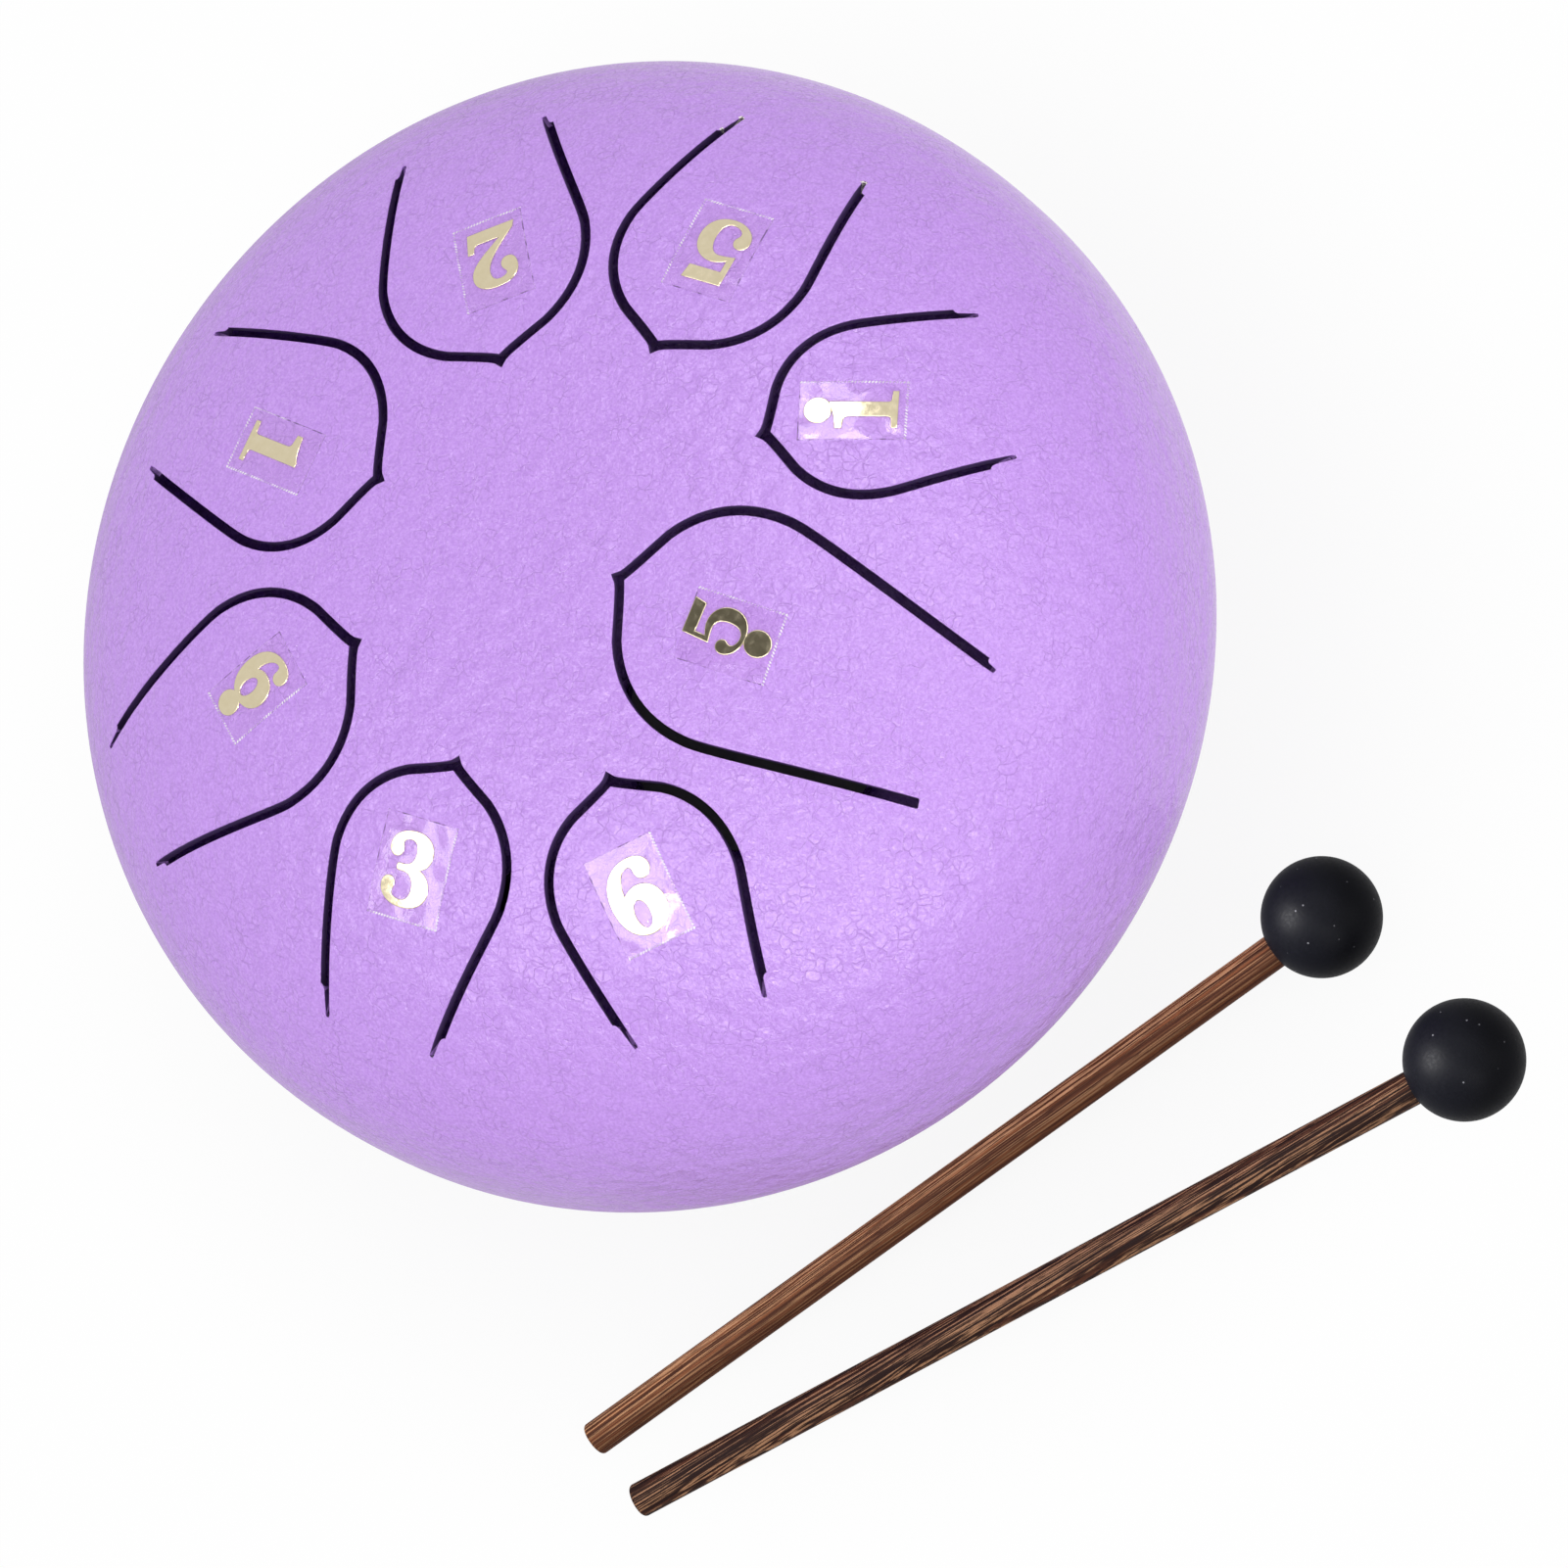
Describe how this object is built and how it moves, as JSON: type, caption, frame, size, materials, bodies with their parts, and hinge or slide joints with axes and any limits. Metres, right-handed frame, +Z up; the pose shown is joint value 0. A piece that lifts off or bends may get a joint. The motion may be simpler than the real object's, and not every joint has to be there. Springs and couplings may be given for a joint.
{
  "type": "tongue drum",
  "caption": "Round pressed-steel tongue drum with petal-shaped tongues, film note labels, sound hole, rubber feet and ball-headed mallets lying beside it.",
  "frame": {"origin": "on the table, in the middle of the footprint of the drum and its mallets", "axes": "+Z up along the drum's axis; -Y towards the player, whose side holds the longest tongue and the mallets"},
  "size_m": [0.1854, 0.2016, 0.0935],
  "materials": {
    "lilac_paint": "wrinkled satin powder coat on pressed steel",
    "clear_film": "clear glossy film with a foil number",
    "foot_rubber": "matte black rubber",
    "head_rubber": "satin black rubber",
    "inner_stick_wood": "reddish brown striped hardwood, oiled",
    "outer_stick_wood": "dark brown hardwood with tan streaks, oiled"
  },
  "bodies": {
    "drum": {"upper_shell": "lilac_paint", "lower_shell": "lilac_paint", "rim_weld": "lilac_paint", "foot_front": "foot_rubber", "foot_right": "foot_rubber", "foot_left": "foot_rubber"},
    "low_5_tongue": {"tongue_low_5": "lilac_paint", "label_low_5": "clear_film"},
    "6_tongue": {"tongue_6": "lilac_paint", "label_6": "clear_film"},
    "3_tongue": {"tongue_3": "lilac_paint", "label_3": "clear_film"},
    "low_6_tongue": {"tongue_low_6": "lilac_paint", "label_low_6": "clear_film"},
    "1_tongue": {"tongue_1": "lilac_paint", "label_1": "clear_film"},
    "2_tongue": {"tongue_2": "lilac_paint", "label_2": "clear_film"},
    "5_tongue": {"tongue_5": "lilac_paint", "label_5": "clear_film"},
    "high_1_tongue": {"tongue_high_1": "lilac_paint", "label_high_1": "clear_film"},
    "inner_mallet": {"inner_mallet_stick": "inner_stick_wood", "inner_mallet_head": "head_rubber"},
    "outer_mallet": {"outer_mallet_stick": "outer_stick_wood", "outer_mallet_head": "head_rubber"}
  },
  "joints": [
    {"name": "low_5_flex", "type": "hinge", "parent": "drum", "child": "low_5_tongue", "pos_m": [0.01523, -0.03703, 0.08125], "axis": [0.9995, -0.0332, 0], "range_deg": [-0.5, 0.5], "stiffness_Nm_per_rad": 30},
    {"name": "6_flex", "type": "hinge", "parent": "drum", "child": "6_tongue", "pos_m": [-0.02858, -0.0186, 0.08107], "axis": [0.6494, -0.7604, 0], "range_deg": [-0.5, 0.5], "stiffness_Nm_per_rad": 30},
    {"name": "3_flex", "type": "hinge", "parent": "drum", "child": "3_tongue", "pos_m": [-0.04529, 0.02021, 0.08107], "axis": [-0.014, -0.9999, 0], "range_deg": [-0.5, 0.5], "stiffness_Nm_per_rad": 30},
    {"name": "low_6_flex", "type": "hinge", "parent": "drum", "child": "low_6_tongue", "pos_m": [-0.03176, 0.06649, 0.07883], "axis": [-0.6871, -0.7266, 0], "range_deg": [-0.5, 0.5], "stiffness_Nm_per_rad": 30},
    {"name": "1_flex", "type": "hinge", "parent": "drum", "child": "1_tongue", "pos_m": [0.01832, 0.08212, 0.08207], "axis": [-0.9996, 0.0297, 0], "range_deg": [-0.5, 0.5], "stiffness_Nm_per_rad": 30},
    {"name": "2_flex", "type": "hinge", "parent": "drum", "child": "2_tongue", "pos_m": [0.06316, 0.05939, 0.08143], "axis": [-0.6455, 0.7638, 0], "range_deg": [-0.5, 0.5], "stiffness_Nm_per_rad": 30},
    {"name": "5_flex", "type": "hinge", "parent": "drum", "child": "5_tongue", "pos_m": [0.07639, 0.01695, 0.0805], "axis": [0.0506, 0.9987, 0], "range_deg": [-0.5, 0.5], "stiffness_Nm_per_rad": 30},
    {"name": "high_1_flex", "type": "hinge", "parent": "drum", "child": "high_1_tongue", "pos_m": [0.05705, -0.02018, 0.08125], "axis": [0.7738, 0.6334, 0], "range_deg": [-0.5, 0.5], "stiffness_Nm_per_rad": 30},
    {"name": "inner_mallet_lift", "type": "slide", "parent": "drum", "child": "inner_mallet", "axis": [-0.2767, -0.4165, 0.866], "range_m": [0, 0.12]},
    {"name": "outer_mallet_lift", "type": "slide", "parent": "drum", "child": "outer_mallet", "axis": [-0.3287, -0.3768, 0.866], "range_m": [0, 0.12]}
  ]
}
